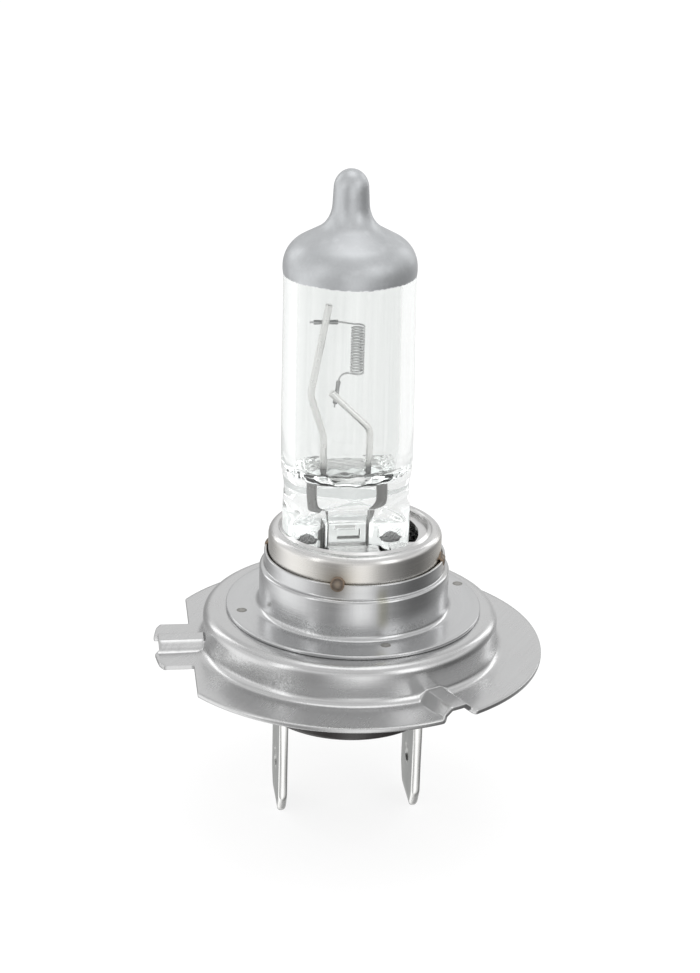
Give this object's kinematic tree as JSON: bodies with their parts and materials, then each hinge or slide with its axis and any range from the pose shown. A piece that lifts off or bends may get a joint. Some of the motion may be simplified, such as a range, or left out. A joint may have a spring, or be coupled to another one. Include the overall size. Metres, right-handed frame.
{
  "type": "headlight bulb",
  "caption": "Single-filament halogen headlight bulb: silver-tipped glass tube in a collar and focus sleeve on a round pre-focus flange with key tab and blade terminals.",
  "frame": {"origin": "where the axis of the cap's drum meets the top face of its flange", "axes": "+Z along the drum's axis towards the glass tip; the key tab points along -X; the two terminal blades stand at -X and +X with their wide faces across X"},
  "size_m": [0.0343, 0.034, 0.0585],
  "materials": {
    "clear_glass": "clear hard glass, glossy",
    "tip_coat": "silver-grey heat-proof coat, matt",
    "tungsten": "drawn tungsten wire, dull grey",
    "sleeve_metal": "crimped nickel-plated sleeve, satin",
    "post_metal": "drawn molybdenum wire, satin",
    "collar_steel": "stainless sheet with a faint straw heat tint, satin",
    "weld_spot": "fused spot, heat-browned",
    "pressed_steel": "drawn stainless sheet, satin",
    "insulator_plastic": "black moulded insulator, glossy",
    "tinned_blade": "tin-plated brass, bright"
  },
  "bodies": {
    "root": {"glass_bulb": "clear_glass", "tip_coating": "tip_coat", "filament": "tungsten", "upper_leg_sleeve": "sleeve_metal", "lower_leg_sleeve": "sleeve_metal", "long_lead_post": "post_metal", "short_lead_post": "post_metal", "collar_ring": "collar_steel", "collar_weld_1": "weld_spot", "collar_weld_2": "weld_spot", "collar_weld_3": "weld_spot", "collar_weld_4": "weld_spot", "focus_sleeve": "pressed_steel", "disc_weld_1": "weld_spot", "disc_weld_2": "weld_spot", "disc_weld_3": "weld_spot", "disc_weld_4": "weld_spot", "base_flange": "pressed_steel", "insulator": "insulator_plastic", "left_terminal": "tinned_blade", "right_terminal": "tinned_blade", "left_lead_weld": "weld_spot", "right_lead_weld": "weld_spot"}
  },
  "joints": []
}
